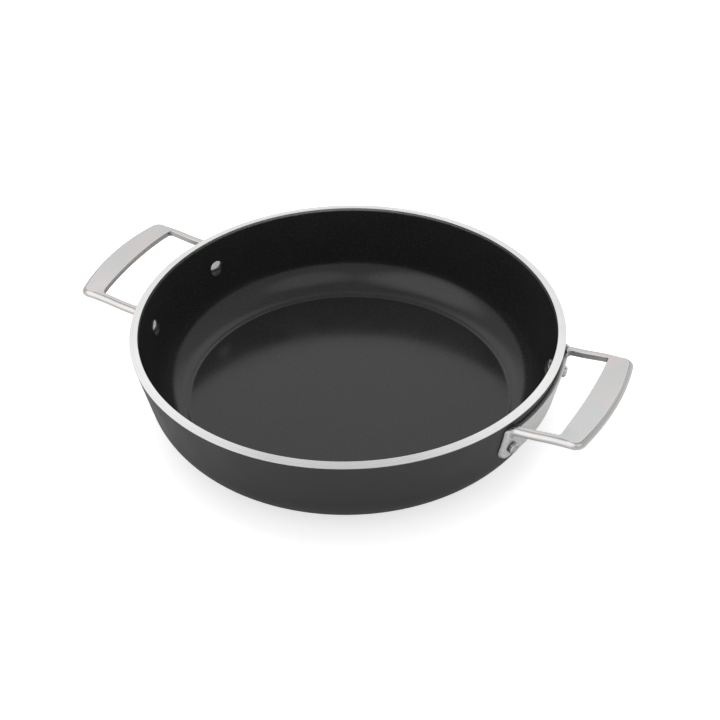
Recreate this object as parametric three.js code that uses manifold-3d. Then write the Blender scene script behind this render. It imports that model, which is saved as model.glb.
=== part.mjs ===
import * as THREE from 'three';
import { mergeVertices } from 'three/addons/utils/BufferGeometryUtils.js';
import { TessellateModifier } from 'three/addons/modifiers/TessellateModifier.js';
import Module from 'manifold-3d';

// Shallow round casserole pan with two cast loop handles, each held by two solid rivets.
// Millimetres, +Z up. The origin is the centre of the base, on the surface the pan stands on.
// The handles lie along X, the right one towards +X.

// Vessel
const RIM_INNER_DIAMETER = 280;
const POT_HEIGHT = 66;
const WALL_LEAN = THREE.MathUtils.degToRad(12.6);
const WALL_THICKNESS = 5.6;
const FLOOR_THICKNESS = 5.6;
const INNER_CORNER_RADIUS = 27;
const OUTER_CORNER_RADIUS = 33;

// Bare turned rim, cut square to the wall
const RIM_OUTER_BAND = 0.9;
const RIM_ROUND = 0.5;
const RIM_INNER_BAND = 2.2;
const RIM_INNER_CHAMFER = 0.35;

// Coats on the vessel
const LINING_THICKNESS = 0.4;
const COAT_THICKNESS = 0.4;
const LAYER_GAP = 0.1;

// Magnetic base disc
const DISC_DIAMETER = 196;
const DISC_THICKNESS = 1.5;
const DISC_PROUD = 0.5;
const DISC_CHAMFER = 0.3;
const DISC_FIT = 0.2;
const DISC_SEAT_WALL = 1.6;

// Rivets
const RIVET_SPACING = 79.6;
const SHANK_DIAMETER = 6;
const SHANK_CLEARANCE = 0.25;
const HEAD_DIAMETER = 11.6;
const HEAD_HEIGHT = 2.1;
const HEAD_EDGE = 0.5;
const TAIL_DIAMETER = 8;
const TAIL_HEIGHT = 3.2;
const TAIL_CHAMFER = 1;
const RIVET_SEAT_GAP = 0.3;

// Handle mounting plate
const PLATE_TOP_DROP = 9;
const PLATE_HEIGHT = 26;
const PLATE_END_MARGIN = 9.1;
const PLATE_THICKNESS = 3.1;
const PLATE_CORNER_RADIUS = 7.5;
const PLATE_EAR_RADIUS = 2;
const PLATE_GAP = 0.3;

// Handle arms
const ARM_WIDTH = 5.8;
const ARM_HEIGHT = 5.3;
const ARM_ROUND = 1.7;
const ARM_END_INSET = 0.5;
const ARM_ROOT_DROP = 8.65;

// Handle grip
const HANDLE_STANDOFF = 25.65;
const GRIP_WIDTH = 19.1;
const GRIP_THICKNESS = 4.4;
const GRIP_ROUND = 1.2;
const GRIP_TOP_DROP = 0.4;
const GRIP_BOW = 1.5;
const GRIP_INNER_ARC_RADIUS = 380;
const GRIP_OUTER_ARC_RADIUS = 200;
const GRIP_CORNER_RADIUS = 7;

// Facets
const ROUND_STEPS = 64;
const CORNER_STEPS = 5;
const RIVET_STEPS = 16;
const EDGE_STEPS = 2;
const ARC_STEPS = 8;
const FACET_LENGTH = 20;
const WELD_DISTANCE = 1e-4;

// Finishes
const BRIGHT_ALUMINIUM = { color: 0xd4d4d2, roughness: 0.28, metalness: 1 };
const NONSTICK = { color: 0x232324, roughness: 0.45, metalness: 0 };
const DARK_COAT = { color: 0x414143, roughness: 0.5, metalness: 0 };
const SATIN_STEEL = { color: 0xc6c4c1, roughness: 0.32, metalness: 1 };
const POLISHED_STEEL = { color: 0xd2d2d2, roughness: 0.15, metalness: 1 };
const BASE_STEEL = { color: 0xb4b4b2, roughness: 0.35, metalness: 1 };

// Values that follow from the sizes above
const RIM_RADIUS = RIM_INNER_DIAMETER / 2;
const COOKING_FLOOR = DISC_PROUD + FLOOR_THICKNESS;
const WALL_SLOPE = Math.tan(WALL_LEAN);
const RIM_OUTER_RADIUS = wallPoint(WALL_THICKNESS, 0).x;
const CORE_INSIDE = LINING_THICKNESS + LAYER_GAP;
const CORE_OUTSIDE = COAT_THICKNESS + LAYER_GAP;
const DISC_RADIUS = DISC_DIAMETER / 2;
const RECESS_RADIUS = DISC_RADIUS + DISC_FIT;
const SEAT_RADIUS = RECESS_RADIUS + DISC_SEAT_WALL;
const CORE_FLOOR = COOKING_FLOOR - CORE_INSIDE;
const CORE_UNDERSIDE = DISC_PROUD + CORE_OUTSIDE;
const PLATE_TOP = POT_HEIGHT - PLATE_TOP_DROP;
const PLATE_BOTTOM = PLATE_TOP - PLATE_HEIGHT;
const PLATE_HALF_WIDTH = RIVET_SPACING / 2 + PLATE_END_MARGIN;
const PLATE_BACK = WALL_THICKNESS + PLATE_GAP;
const PLATE_FRONT = PLATE_BACK + PLATE_THICKNESS;
const RIVET_Z = PLATE_TOP - PLATE_HEIGHT / 2;
const ARM_Y = PLATE_HALF_WIDTH - ARM_END_INSET - ARM_WIDTH / 2;
const ARM_ROOT_Z = POT_HEIGHT - ARM_ROOT_DROP;
const EAR_TOP = ARM_ROOT_Z + ARM_HEIGHT / 2;
const EAR_INNER_Y = ARM_Y - ARM_WIDTH / 2;
const GRIP_HALF_LENGTH = ARM_Y + ARM_WIDTH / 2;
const GRIP_INNER_X = RIM_OUTER_RADIUS + HANDLE_STANDOFF;
const GRIP_OUTER_X = GRIP_INNER_X + GRIP_WIDTH;
const GRIP_TOP = POT_HEIGHT - GRIP_TOP_DROP;

const wasm = await Module();
wasm.setup();

// Radius of the wall at height z, counted outwards from the cooking surface by offset.
function wallRadius(offset, z) {
  return RIM_RADIUS + offset / Math.cos(WALL_LEAN) - (POT_HEIGHT - z) * WALL_SLOPE;
}

// Point of the wall's section: offset outwards from the cooking surface, drop down the wall from the rim.
function wallPoint(offset, drop) {
  return new THREE.Vector2(
    RIM_RADIUS + offset * Math.cos(WALL_LEAN) - drop * Math.sin(WALL_LEAN),
    POT_HEIGHT - offset * Math.sin(WALL_LEAN) - drop * Math.cos(WALL_LEAN),
  );
}

// Bowl line from the floor, round the corner and up the leaning wall to a drop below the rim.
function bowlLine(wallOffset, floorZ, cornerRadius, drop) {
  const centreZ = floorZ + cornerRadius;
  const centreR = wallRadius(wallOffset, centreZ) - cornerRadius / Math.cos(WALL_LEAN);
  const points = [];
  for (let i = 0; i <= CORNER_STEPS; i += 1) {
    const angle = THREE.MathUtils.lerp(-Math.PI / 2, -WALL_LEAN, i / CORNER_STEPS);
    const r = centreR + cornerRadius * Math.cos(angle);
    points.push(new THREE.Vector2(r, centreZ + cornerRadius * Math.sin(angle)));
  }
  points.push(wallPoint(wallOffset, drop));
  return points;
}

// Bowl line at a depth under the cooking surface.
function insideLine(depth, drop) {
  return bowlLine(depth, COOKING_FLOOR - depth, INNER_CORNER_RADIUS + depth, drop);
}

// Bowl line at a depth under the outer skin.
function outsideLine(depth, drop) {
  return bowlLine(WALL_THICKNESS - depth, DISC_PROUD + depth, OUTER_CORNER_RADIUS - depth, drop);
}

// Solid of revolution about Z from a profile that runs up the outside and down the inside.
function revolve(points, steps) {
  const geometry = new THREE.LatheGeometry(points, steps);
  geometry.rotateX(Math.PI / 2);
  return geometry;
}

// Round block about Z.
function roundBlock(radius, lowZ, highZ) {
  return revolve([
    new THREE.Vector2(0, lowZ),
    new THREE.Vector2(radius, lowZ),
    new THREE.Vector2(radius, highZ),
    new THREE.Vector2(0, highZ),
  ], ROUND_STEPS);
}

function toSolid(geometry) {
  const bare = geometry.clone();
  bare.deleteAttribute('normal');
  bare.deleteAttribute('uv');
  const merged = mergeVertices(bare, WELD_DISTANCE);
  return new wasm.Manifold(new wasm.Mesh({
    numProp: 3,
    vertProperties: new Float32Array(merged.attributes.position.array),
    triVerts: new Uint32Array(merged.index.array),
  }));
}

function toGeometry(solid) {
  const mesh = solid.getMesh();
  const geometry = new THREE.BufferGeometry();
  geometry.setAttribute('position', new THREE.BufferAttribute(mesh.vertProperties, 3));
  geometry.setIndex(new THREE.BufferAttribute(mesh.triVerts, 1));
  geometry.computeVertexNormals();
  return geometry;
}

function subPart(name, geometry, finish) {
  const mesh = new THREE.Mesh(geometry, new THREE.MeshStandardMaterial(finish));
  mesh.name = name;
  return mesh;
}

// Place on the wall for a rivet: its local Y runs out along the wall's normal from the cooking surface.
function rivetPlace(side, y) {
  const r = wallRadius(0, RIVET_Z);
  const angle = Math.asin(y / r) + (side > 0 ? 0 : Math.PI);
  const outwards = new THREE.Vector3(Math.cos(angle), Math.sin(angle), 0);
  const normal = outwards.clone().multiplyScalar(Math.cos(WALL_LEAN));
  normal.z = -Math.sin(WALL_LEAN);
  const turn = new THREE.Quaternion().setFromUnitVectors(new THREE.Vector3(0, 1, 0), normal);
  const position = outwards.multiplyScalar(r);
  position.z = RIVET_Z;
  return new THREE.Matrix4().compose(position, turn, new THREE.Vector3(1, 1, 1));
}

const RIVETS = [
  { name: 'rivet_right_front', place: rivetPlace(1, -RIVET_SPACING / 2) },
  { name: 'rivet_right_rear', place: rivetPlace(1, RIVET_SPACING / 2) },
  { name: 'rivet_left_front', place: rivetPlace(-1, RIVET_SPACING / 2) },
  { name: 'rivet_left_rear', place: rivetPlace(-1, -RIVET_SPACING / 2) },
];

// Clearance holes for the shanks, long enough to pass the lining, wall, coat and plate.
function drillRivetHoles(solid) {
  const reach = PLATE_FRONT + HEAD_HEIGHT + TAIL_HEIGHT;
  const radius = SHANK_DIAMETER / 2 + SHANK_CLEARANCE;
  const drill = new THREE.CylinderGeometry(radius, radius, 2 * reach, RIVET_STEPS);
  let drilled = solid;
  for (const { place } of RIVETS) {
    drilled = drilled.subtract(toSolid(drill.clone().applyMatrix4(place)));
  }
  return drilled;
}

// Pressed shell with its rim, a seat that carries the base disc, and the disc's recess in it.
function vesselBody() {
  const bandFoot = wallPoint(WALL_THICKNESS, RIM_OUTER_BAND);
  const round = wallPoint(WALL_THICKNESS - RIM_ROUND, RIM_ROUND);
  const rim = new THREE.Path();
  rim.moveTo(bandFoot.x, bandFoot.y);
  rim.absarc(round.x, round.y, RIM_ROUND, -WALL_LEAN, Math.PI / 2 - WALL_LEAN);
  const shell = revolve([
    new THREE.Vector2(0, CORE_UNDERSIDE),
    ...outsideLine(CORE_OUTSIDE, RIM_OUTER_BAND),
    ...rim.getPoints(EDGE_STEPS + 1),
    wallPoint(RIM_INNER_CHAMFER, 0),
    wallPoint(0, RIM_INNER_CHAMFER),
    wallPoint(0, RIM_INNER_BAND),
    ...insideLine(CORE_INSIDE, RIM_INNER_BAND).reverse(),
    new THREE.Vector2(0, CORE_FLOOR),
  ], ROUND_STEPS);
  const seat = roundBlock(SEAT_RADIUS, CORE_UNDERSIDE, (DISC_THICKNESS + CORE_FLOOR) / 2);
  const recess = roundBlock(RECESS_RADIUS, -DISC_THICKNESS, DISC_THICKNESS);
  const body = toSolid(shell).add(toSolid(seat)).subtract(toSolid(recess));
  return toGeometry(drillRivetHoles(body));
}

function nonstickLining() {
  const drop = RIM_INNER_BAND + LAYER_GAP;
  const profile = [
    new THREE.Vector2(0, COOKING_FLOOR - LINING_THICKNESS),
    ...insideLine(LINING_THICKNESS, drop),
    ...insideLine(0, drop).reverse(),
    new THREE.Vector2(0, COOKING_FLOOR),
  ];
  return toGeometry(drillRivetHoles(toSolid(revolve(profile, ROUND_STEPS))));
}

function outerCoating() {
  const drop = RIM_OUTER_BAND + LAYER_GAP;
  const coat = revolve([
    new THREE.Vector2(0, DISC_PROUD),
    ...outsideLine(0, drop),
    ...outsideLine(COAT_THICKNESS, drop).reverse(),
    new THREE.Vector2(0, DISC_PROUD + COAT_THICKNESS),
  ], ROUND_STEPS);
  const seatSpace = roundBlock(SEAT_RADIUS + LAYER_GAP, -DISC_THICKNESS, CORE_FLOOR);
  return toGeometry(drillRivetHoles(toSolid(coat).subtract(toSolid(seatSpace))));
}

function inductionBaseDisc() {
  const profile = [
    new THREE.Vector2(0, 0),
    new THREE.Vector2(DISC_RADIUS - DISC_CHAMFER, 0),
    new THREE.Vector2(DISC_RADIUS, DISC_CHAMFER),
    new THREE.Vector2(DISC_RADIUS, DISC_THICKNESS),
    new THREE.Vector2(0, DISC_THICKNESS),
  ];
  return revolve(profile, ROUND_STEPS);
}

// Rivet along local Y: the domed head faces the food, the upset tail stands proud of the handle plate.
function rivet() {
  const headSeat = -RIVET_SEAT_GAP;
  const tailSeat = PLATE_FRONT + RIVET_SEAT_GAP;
  const headRadius = HEAD_DIAMETER / 2;
  const tailRadius = TAIL_DIAMETER / 2;
  const shankRadius = SHANK_DIAMETER / 2;
  const dome = HEAD_HEIGHT - HEAD_EDGE;
  const outline = new THREE.Path();
  outline.moveTo(0, headSeat - HEAD_HEIGHT);
  outline.absellipse(0, headSeat - HEAD_EDGE, headRadius, dome, -Math.PI / 2, 0);
  outline.lineTo(headRadius, headSeat);
  outline.lineTo(shankRadius, headSeat);
  outline.lineTo(shankRadius, tailSeat);
  outline.lineTo(tailRadius, tailSeat);
  outline.lineTo(tailRadius, tailSeat + TAIL_HEIGHT - TAIL_CHAMFER);
  outline.lineTo(tailRadius - TAIL_CHAMFER, tailSeat + TAIL_HEIGHT);
  outline.lineTo(0, tailSeat + TAIL_HEIGHT);
  return new THREE.LatheGeometry(outline.getPoints(EDGE_STEPS + 1), RIVET_STEPS);
}

// Mounting plate: a strip of the wall's cone, trimmed by its outline seen along X.
// Its upper corners rise into ears that carry the arms.
function handlePlate() {
  const lowZ = PLATE_BOTTOM - PLATE_THICKNESS;
  const highZ = EAR_TOP + PLATE_THICKNESS;
  const first = new THREE.Vector2(wallRadius(PLATE_BACK, lowZ), lowZ);
  const ring = revolve([
    first,
    new THREE.Vector2(wallRadius(PLATE_FRONT, lowZ), lowZ),
    new THREE.Vector2(wallRadius(PLATE_FRONT, highZ), highZ),
    new THREE.Vector2(wallRadius(PLATE_BACK, highZ), highZ),
    first.clone(),
  ], ROUND_STEPS);
  const half = PLATE_HALF_WIDTH;
  const low = PLATE_CORNER_RADIUS;
  const ear = PLATE_EAR_RADIUS;
  const outline = new THREE.Shape();
  outline.absarc(-half + low, PLATE_BOTTOM + low, low, Math.PI, 1.5 * Math.PI);
  outline.absarc(half - low, PLATE_BOTTOM + low, low, -Math.PI / 2, 0);
  outline.absarc(half - ear, EAR_TOP - ear, ear, 0, Math.PI / 2);
  outline.lineTo(EAR_INNER_Y, EAR_TOP);
  outline.lineTo(EAR_INNER_Y, PLATE_TOP);
  outline.lineTo(-EAR_INNER_Y, PLATE_TOP);
  outline.lineTo(-EAR_INNER_Y, EAR_TOP);
  outline.absarc(-half + ear, EAR_TOP - ear, ear, Math.PI / 2, Math.PI);
  const prism = new THREE.ExtrudeGeometry(outline, {
    depth: GRIP_OUTER_X,
    curveSegments: CORNER_STEPS,
    bevelEnabled: false,
  });
  const alongX = new THREE.Matrix4().makeBasis(
    new THREE.Vector3(0, 1, 0),
    new THREE.Vector3(0, 0, 1),
    new THREE.Vector3(1, 0, 0),
  );
  return toSolid(ring).intersect(toSolid(prism.applyMatrix4(alongX)));
}

// Height lost by the grip's bow at a distance y from its middle.
function bowDrop(y) {
  return GRIP_BOW * (y / ARM_Y) ** 2;
}

// Grip: a flat bar between two arcs in plan, rounded at its outer corners and bowed upwards.
function handleGrip() {
  const half = GRIP_HALF_LENGTH;
  const innerCentre = GRIP_INNER_X - GRIP_INNER_ARC_RADIUS;
  const outerCentre = GRIP_OUTER_X - GRIP_OUTER_ARC_RADIUS;
  const innerSweep = Math.asin(half / GRIP_INNER_ARC_RADIUS);
  const corner = GRIP_CORNER_RADIUS;
  const cornerY = half - corner;
  const cornerX = outerCentre + Math.sqrt((GRIP_OUTER_ARC_RADIUS - corner) ** 2 - cornerY ** 2);
  const outerSweep = Math.atan2(cornerY, cornerX - outerCentre);
  const outline = new THREE.Shape();
  outline.absarc(cornerX, -cornerY, corner, -Math.PI / 2, -outerSweep);
  outline.absarc(outerCentre, 0, GRIP_OUTER_ARC_RADIUS, -outerSweep, outerSweep);
  outline.absarc(cornerX, cornerY, corner, outerSweep, Math.PI / 2);
  outline.absarc(innerCentre, 0, GRIP_INNER_ARC_RADIUS, innerSweep, -innerSweep, true);
  const bar = new THREE.ExtrudeGeometry(outline, {
    depth: GRIP_THICKNESS - 2 * GRIP_ROUND,
    curveSegments: ARC_STEPS,
    bevelThickness: GRIP_ROUND,
    bevelSize: GRIP_ROUND,
    bevelOffset: -GRIP_ROUND,
    bevelSegments: EDGE_STEPS,
  });
  bar.translate(0, 0, GRIP_TOP - GRIP_THICKNESS + GRIP_ROUND);
  const fine = new TessellateModifier(FACET_LENGTH).modify(bar);
  const position = fine.attributes.position;
  for (let i = 0; i < position.count; i += 1) {
    position.setZ(i, position.getZ(i) - bowDrop(position.getY(i)));
  }
  return toSolid(fine);
}

// Arm: a bar with rounded edges that rises from the plate's ear to the end of the grip.
function handleArm(side) {
  const rootX = wallRadius(0, ARM_ROOT_Z) * Math.cos(Math.asin(ARM_Y / RIM_RADIUS));
  const endX = GRIP_INNER_X + GRIP_WIDTH / 2;
  const endZ = GRIP_TOP - bowDrop(ARM_Y) - ARM_HEIGHT / 2;
  const half = ARM_HEIGHT / 2;
  const outline = new THREE.Shape();
  outline.moveTo(rootX, ARM_ROOT_Z - half);
  outline.lineTo(endX, endZ - half);
  outline.lineTo(endX, endZ + half);
  outline.lineTo(rootX, ARM_ROOT_Z + half);
  outline.closePath();
  const bar = new THREE.ExtrudeGeometry(outline, {
    depth: ARM_WIDTH - 2 * ARM_ROUND,
    bevelThickness: ARM_ROUND,
    bevelSize: ARM_ROUND,
    bevelOffset: -ARM_ROUND,
    bevelSegments: EDGE_STEPS,
  });
  bar.translate(0, 0, -ARM_WIDTH / 2 + ARM_ROUND);
  bar.rotateX(Math.PI / 2);
  bar.translate(0, side * ARM_Y, 0);
  return toSolid(bar);
}

// One casting: plate, arms and grip joined, then cleared from the wall it hugs.
function handle() {
  const lowZ = PLATE_BOTTOM - PLATE_HEIGHT;
  const highZ = POT_HEIGHT + PLATE_HEIGHT;
  const wallSpace = revolve([
    new THREE.Vector2(0, lowZ),
    new THREE.Vector2(wallRadius(PLATE_BACK, lowZ), lowZ),
    new THREE.Vector2(wallRadius(PLATE_BACK, highZ), highZ),
    new THREE.Vector2(0, highZ),
  ], ROUND_STEPS);
  const joined = handlePlate()
    .add(handleGrip())
    .add(handleArm(1))
    .add(handleArm(-1))
    .subtract(toSolid(wallSpace));
  return toGeometry(drillRivetHoles(joined));
}

const pan = new THREE.Group();
pan.add(subPart('vessel_body', vesselBody(), BRIGHT_ALUMINIUM));
pan.add(subPart('nonstick_lining', nonstickLining(), NONSTICK));
pan.add(subPart('outer_coating', outerCoating(), DARK_COAT));
pan.add(subPart('induction_base_disc', inductionBaseDisc(), BASE_STEEL));

const casting = handle();
const rightHandle = subPart('handle_right', casting, SATIN_STEEL);
const leftHandle = subPart('handle_left', casting, SATIN_STEEL);
leftHandle.rotation.z = Math.PI;
pan.add(rightHandle, leftHandle);

for (const { name, place } of RIVETS) {
  const piece = subPart(name, rivet(), POLISHED_STEEL);
  piece.applyMatrix4(place);
  pan.add(piece);
}

export default pan;
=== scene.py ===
import math
import bpy
import numpy as np
from mathutils import Matrix


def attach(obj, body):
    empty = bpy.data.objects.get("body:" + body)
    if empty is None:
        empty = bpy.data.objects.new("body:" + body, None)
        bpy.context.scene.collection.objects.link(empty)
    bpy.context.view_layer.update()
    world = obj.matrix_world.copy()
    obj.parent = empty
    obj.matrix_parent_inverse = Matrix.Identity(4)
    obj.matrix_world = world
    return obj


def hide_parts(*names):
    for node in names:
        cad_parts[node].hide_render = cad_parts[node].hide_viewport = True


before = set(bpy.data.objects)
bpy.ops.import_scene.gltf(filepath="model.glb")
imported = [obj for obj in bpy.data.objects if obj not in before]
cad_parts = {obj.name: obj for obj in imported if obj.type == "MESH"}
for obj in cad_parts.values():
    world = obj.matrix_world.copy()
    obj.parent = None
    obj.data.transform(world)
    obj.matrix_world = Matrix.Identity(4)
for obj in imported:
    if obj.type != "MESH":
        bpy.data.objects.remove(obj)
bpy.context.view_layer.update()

MM = 0.001

# Sizes of the pan in millimetres, as the solids have them
RIM_RADIUS = 140.0
POT_HEIGHT = 66.0
LEAN = math.radians(12.6)
WALL = 5.6
COOKING_FLOOR = 6.1
INNER_CORNER = 27.0
OUTER_CORNER = 33.0
DISC_PROUD = 0.5
COAT = 0.4
CORE_SKIN = 0.5
LAYER_GAP = 0.1
RIM_INNER_BAND = 2.2
RIM_INNER_CHAMFER = 0.35
DISC_RADIUS = 98.0
DISC_THICKNESS = 1.5
RECESS_RADIUS = 98.2
SEAT_RADIUS = 99.8

# Thin outer edge of the rim in millimetres, finer than the solids have it
RIM_OUTER_BAND = 0.3
RIM_ROUND = 0.2

# Small edges of the pan's layers and its disc in millimetres
STEP_EDGE = 0.08
RECESS_EDGE = 0.15
LINING_LIP = 0.3
COAT_LIP = 0.25
DISC_CHAMFER = 0.3
DISC_EDGE = 0.1
DISC_BACK_GAP = 0.02

# Dished centre and turned grooves of the base disc in millimetres
DISH_DEPTH = 0.35
DISH_FLAT = 6.5
DISH_END = 9.5
GROOVE_FIRST = 16.0
GROOVE_LAST = 90.0
GROOVE_PITCH = 5.0
GROOVE_DEPTH = 0.16
GROOVE_LAND = 0.72
GROOVE_FADE = 2.0

# Edge of the flat cooking floor, where it turns up sharply into the corner
FLOOR_EDGE = 109.2
FLOOR_EDGE_TOP = 113.0
FLOOR_EDGE_END = 118.0
FLOOR_EDGE_RISE = 0.14

# Handle sizes in millimetres
PLATE_BACK = 5.9
PLATE_FRONT = 9.0
PLATE_TOP = 57.0
PLATE_BOTTOM = 31.0
PLATE_HALF = 48.9
PLATE_CORNER = 7.5
PLATE_EDGE = 0.8
PLATE_BACK_EDGE = 0.3
PLATE_END_ROUND = 2.3
EAR_TOP = 60.0
EAR_CORNER = 2.0
EAR_START = 38.6
EAR_FULL = 42.4
ARM_Y = 45.5
ARM_WIDTH = 5.8
ARM_HEIGHT = 5.3
ARM_ROOT_X = 130.64
ARM_ROOT_TOP = 60.0
ROOT_FILLET = 2.6
ROOT_SPREAD = 0.55
ROOT_SUNK = 1.4
ROOT_DIP = 0.3
ROOT_DIP_LENGTH = 4.0
RISE_REACH = 9.3
RISE_START_X = 150.0
RISE_END_X = 181.0
RISE_START_Y = 33.0
GRIP_INNER_X = 171.12
GRIP_OUTER_X = 190.22
GRIP_THICKNESS = 4.4
GRIP_TOP = 65.6
GRIP_BOW = 1.5
INNER_ARC = 380.0
OUTER_ARC = 200.0
INNER_FILLET = 2.0
GRIP_CORNER = 7.0

# Section of the handle's loop in millimetres, each as a pair of the arm's size and the grip's
LOOP_HEIGHT = (ARM_HEIGHT, GRIP_THICKNESS)
BEVEL_WIDTH = (3.1, 2.8)
LINE_DEPTH = (0.3, 0.26)
LOW_OUTER_ROUND = (2.3, 1.5)
LOW_INNER_ROUND = (1.7, 0.9)
TOP_INNER_ROUND = (0.8, 0.5)

# Shoulder of the loop's outer side as a share of its height, in the arm and in the grip
SHOULDER_SHARE = (0.5, 0.62)

# Fine line between the loop's flat top and its bevel in millimetres
LINE_WIDTH = 0.5
BEVEL_DROP = 0.1

# Points of the loop's section, counted round from the middle of its underside
LINE_POINTS = slice(25, 28)
RIDGE_POINTS = slice(28, 31)
INNER_TOP_POINTS = slice(38, 45)
INNER_SIDE_POINTS = slice(45, 56)

# Points of the plate's section and the sections at its two ends
PLATE_FACE_POINTS = slice(0, 11)
PLATE_TOP_POINTS = slice(11, 19)
PLATE_LOW_POINTS = slice(-8, None)
PLATE_END_SECTIONS = [0, 1, 2, 3, -4, -3, -2, -1]

# Painted highlight, edge wear and painted shade: shares from 0 to 1, and the millimetres over which they
# change
TOP_EDGE_HIGHLIGHT = 0.6
RUBBED_PLATE = 0.7
LINE_SHADE = (0.5, 0.7, 0.55)
LINE_SHADE_LEAST = 0.2
LINE_SHADE_START_Y = 14.0
LINE_SHADE_FULL_Y = 36.0
INNER_SIDE_SHADE = 0.32
ROOT_SIDE_SHADE = 0.4
ROOT_SHADE_START = 3.0
ROOT_SHADE_END = 18.0
STRUCK_END_PAINTED_SHADE = 0.45

# Rivet sizes in millimetres
RIVET_Z = 44.0
RIVET_Y = 39.8
HEAD_RADIUS = 5.8
HEAD_HEIGHT = 2.1
HEAD_EDGE = 0.5
SHANK_RADIUS = 3.0
TAIL_RADIUS = 4.0
TAIL_HEIGHT = 3.2
HEAD_EDGE_WIDTH = 0.6
HEAD_GAP = 0.02
TAIL_GAP = 0.05
SEAT_GAP = 0.3
TAIL_FOOT = 0.35
TAIL_FOOT_RISE = 0.4
TAIL_SHOULDER = 0.9
TAIL_TAPER = 0.95
DIMPLE_RADIUS = 1.7
DIMPLE_FLAT = 1.1
DIMPLE_EDGE_DEPTH = 0.45
DIMPLE_DEPTH = 0.5

# Steps round a turned piece
TURN_STEPS = 240
RIVET_STEPS = 48


def wall_radius(offset, z):
    """Radius of the leaning wall at height z: a straight line in r and z, moved outwards by offset along
    its normal."""
    return RIM_RADIUS + offset / math.cos(LEAN) - (POT_HEIGHT - z) * math.tan(LEAN)


def wall_point(offset, drop):
    """Point (r, z) of the wall's section: offset outwards from the cooking surface along the wall's
    normal, and drop down along the wall from the rim."""
    across, down = np.array([math.cos(LEAN), -math.sin(LEAN)]), np.array([-math.sin(LEAN), -math.cos(LEAN)])
    corner = np.array([RIM_RADIUS, POT_HEIGHT])
    return corner + np.multiply.outer(offset, across) + np.multiply.outer(drop, down)


def ease(x, low, high):
    """Smooth step from 0 at low to 1 at high: three t squared less two t cubed."""
    t = np.clip((x - low) / (high - low), 0.0, 1.0)
    return t * t * (3.0 - 2.0 * t)


def sew(rows, cols, close_rows=False):
    """Quads of a grid of points: each cell joins a point to its neighbours in both directions. The columns
    wrap round to the first one, and so do the rows if they are closed."""
    r, c = np.meshgrid(np.arange(rows if close_rows else rows - 1), np.arange(cols), indexing="ij")
    r1, c1 = (r + 1) % rows, (c + 1) % cols
    return np.stack([r * cols + c, r * cols + c1, r1 * cols + c1, r1 * cols + c], -1).reshape(-1, 4)


def weld(points, quads):
    """Points that lie on one spot become one point. A quad with two equal corners becomes a triangle."""
    kept, first, where = np.unique(np.round(points, 5), axis=0, return_index=True, return_inverse=True)
    quads = where.reshape(-1)[quads]
    same = quads == np.roll(quads, -1, axis=1)
    pairs = same.sum(axis=1)
    tris = [np.delete(quads[(pairs == 1) & same[:, k]], k, axis=1) for k in range(4)]
    return kept, first, quads[pairs == 0], np.concatenate(tris)


def outwards(points, quads):
    """True if the faces point out: the sum of the signed volumes between the faces and the origin is
    positive."""
    a, b, c, d = (points[quads[:, k]] for k in range(4))
    return np.einsum("ij,ij->i", a, np.cross(b, c) + np.cross(c, d)).sum() > 0


def add_piece(name, shells, finish, nodes):
    """One object made of closed shells. Each shell is (points in millimetres, quads, marks per point),
    and a mark is (along, around, edge, plate, crevice) for the finish."""
    # The edge mark is partly painted highlight, and the fifth mark is painted shade.
    points, quads, marks, start = [], [], [], 0
    for shell_points, shell_quads, shell_marks in shells:
        if not outwards(shell_points, shell_quads):
            shell_quads = shell_quads[:, ::-1]
        points.append(shell_points)
        quads.append(shell_quads + start)
        marks.append(shell_marks)
        start += len(shell_points)
    points, first, quads, tris = weld(np.concatenate(points), np.concatenate(quads))
    marks = np.concatenate(marks)[first]
    mesh = bpy.data.meshes.new(name)
    mesh.from_pydata((points * MM).tolist(), [], quads.tolist() + tris.tolist())
    for k, label in enumerate(("along", "around", "edge", "plate", "painted_shade")):
        mesh.attributes.new(label, "FLOAT", "POINT").data.foreach_set("value", marks[:, k].astype(np.float32))
    mesh.polygons.foreach_set("use_smooth", np.ones(len(mesh.polygons), bool))
    mesh.update()
    mesh.materials.append(finish)
    piece = bpy.data.objects.new(name, mesh)
    bpy.context.scene.collection.objects.link(piece)
    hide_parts(*nodes)
    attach(piece, "root")


def turned(profile, ring=False, place=None, painted_shade=None, steps=TURN_STEPS):
    """Surface of revolution: a profile point (r, z) goes round the circle (r cos a, r sin a, z). A ring's
    profile closes on itself, and any other starts and ends on the axis. place then carries it to its
    spot."""
    a = np.linspace(0.0, 2.0 * math.pi, steps, endpoint=False)
    r, z = profile[:, :1], profile[:, 1:]
    points = np.stack([r * np.cos(a), r * np.sin(a), z + 0.0 * a], -1).reshape(-1, 3)
    if place is not None:
        points = points @ place[:3, :3].T + place[:3, 3]
    length = np.concatenate([[0.0], np.cumsum(np.hypot(*np.diff(profile, axis=0).T))])
    marks = np.zeros((len(points), 5))
    marks[:, 0] = np.repeat(length, steps)
    marks[:, 1] = np.tile(a, len(profile))
    if painted_shade is not None:
        marks[:, 4] = np.repeat(painted_shade, steps)
    return points, sew(len(profile), steps, close_rows=ring), marks


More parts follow.
